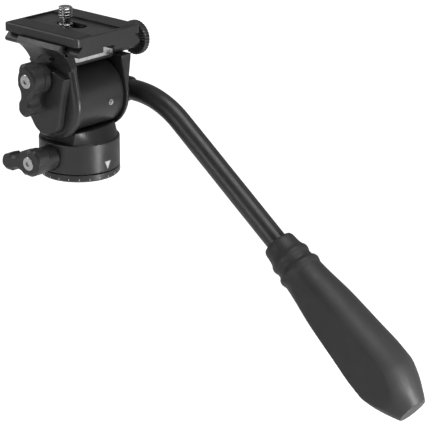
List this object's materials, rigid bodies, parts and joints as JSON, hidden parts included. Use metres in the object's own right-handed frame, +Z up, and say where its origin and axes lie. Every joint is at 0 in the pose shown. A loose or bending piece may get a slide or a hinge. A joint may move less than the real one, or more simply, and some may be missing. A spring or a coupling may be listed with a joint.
{
  "type": "fluid video head",
  "caption": "Two-way fluid video head: round pan base, tilting bracket on a damped drum, lever locks, quick release plate with camera screw, and a long bent handle with a grip.",
  "frame": {"origin": "mouth of the tripod thread, on the pan axis, at the flat underside of the base", "axes": "+Z up along the pan axis, +Y towards the lens, +X to the operator's right; the handle points backwards and down on the +X side"},
  "size_m": [0.0683, 0.1962, 0.1516],
  "materials": {
    "black_paint": "fine satin black paint on die-cast aluminium",
    "black_plastic": "matte moulded black plastic",
    "black_rubber": "matte black rubber",
    "chrome": "bright plated",
    "polished_steel": "polished flat steel",
    "steel": "machined bright steel",
    "dark_steel": "blackened steel",
    "brass": "machined",
    "nylon": "natural nylon",
    "white_paint": "flat white paint"
  },
  "bodies": {
    "base": {"base_plate": "black_paint", "pan_scale_marks": "white_paint", "base_screws": "dark_steel", "tripod_bush": "brass", "pan_spindle": "steel", "pan_washer": "nylon", "pan_retainer": "steel", "pan_nut": "steel"},
    "pan_head": {"pan_housing": "black_paint", "pan_index_mark": "white_paint", "drum_screw": "steel", "left_damper_cup": "steel", "right_damper_cup": "steel"},
    "pan_brake": {"pan_brake_shoe": "brass"},
    "pan_lock": {"pan_lock_knob": "black_plastic", "pan_lock_screw": "steel", "pan_lock_cap": "chrome"},
    "tilt_head": {"tilt_bracket": "black_paint", "tilt_axle": "steel", "axle_bolt": "dark_steel", "left_damper_rotor": "nylon", "right_damper_rotor": "nylon", "left_cover": "black_paint", "tilt_stop_pin": "dark_steel", "clamp_bed": "polished_steel", "handle_tube": "black_paint", "handle_set_screw": "dark_steel", "handle_grip": "black_rubber"},
    "tilt_brake": {"tilt_brake_shoe": "brass"},
    "tilt_lock": {"tilt_lock_knob": "black_plastic", "tilt_lock_screw": "steel", "tilt_lock_cap": "chrome"},
    "clamp_jaw": {"moving_jaw": "black_paint", "jaw_guide_pin": "steel", "clamp_washer": "dark_steel"},
    "jaw_knob": {"clamp_knob": "black_plastic", "clamp_screw": "steel"},
    "plate": {"release_plate": "black_paint", "rubber_strips": "black_rubber"},
    "screw_carriage": {"screw_washer": "dark_steel"},
    "screw": {"camera_screw": "steel"}
  },
  "joints": [
    {"name": "pan", "type": "hinge", "parent": "base", "child": "pan_head", "pos_m": [0, 0, 0], "axis": [0, 0, 1], "continuous": true},
    {"name": "tilt", "type": "hinge", "parent": "pan_head", "child": "tilt_head", "pos_m": [0, 0, 0.035], "axis": [1, 0, 0], "range_deg": [-75, 90]},
    {"name": "pan_brake_slide", "type": "slide", "parent": "pan_head", "child": "pan_brake", "axis": [-1, 0, 0], "range_m": [0, 0.0002]},
    {"name": "pan_lock_turn", "type": "hinge", "parent": "pan_brake", "child": "pan_lock", "pos_m": [-0.0308, 0, 0.0102], "axis": [-1, 0, 0], "range_deg": [0, 90.1]},
    {"name": "tilt_brake_slide", "type": "slide", "parent": "tilt_head", "child": "tilt_brake", "axis": [-1, 0, 0], "range_m": [0, 0.0002]},
    {"name": "tilt_lock_turn", "type": "hinge", "parent": "tilt_brake", "child": "tilt_lock", "pos_m": [-0.031, 0, 0.0469], "axis": [-1, 0, 0], "range_deg": [0, 90.1]},
    {"name": "jaw_slide", "type": "slide", "parent": "tilt_head", "child": "clamp_jaw", "axis": [1, 0, 0], "range_m": [0, 0.002]},
    {"name": "jaw_knob_turn", "type": "hinge", "parent": "clamp_jaw", "child": "jaw_knob", "pos_m": [0.031, -0.003, 0.0549], "axis": [1, 0, 0], "range_deg": [0, 901]},
    {"name": "plate_slide", "type": "slide", "parent": "tilt_head", "child": "plate", "axis": [0, 1, 0], "range_m": [-0.008, 0.008]},
    {"name": "screw_slide", "type": "slide", "parent": "plate", "child": "screw_carriage", "axis": [0, 1, 0], "range_m": [-0.008, 0.0002]},
    {"name": "screw_turn", "type": "hinge", "parent": "screw_carriage", "child": "screw", "pos_m": [0, 0.0072, 0.066], "axis": [0, 0, 1], "continuous": true}
  ],
  "couplings": [
    {"joint": "pan_lock_turn", "follows": "pan_brake_slide", "rad_per_m": 7854},
    {"joint": "tilt_lock_turn", "follows": "tilt_brake_slide", "rad_per_m": 7854},
    {"joint": "jaw_knob_turn", "follows": "jaw_slide", "rad_per_m": 7854}
  ]
}
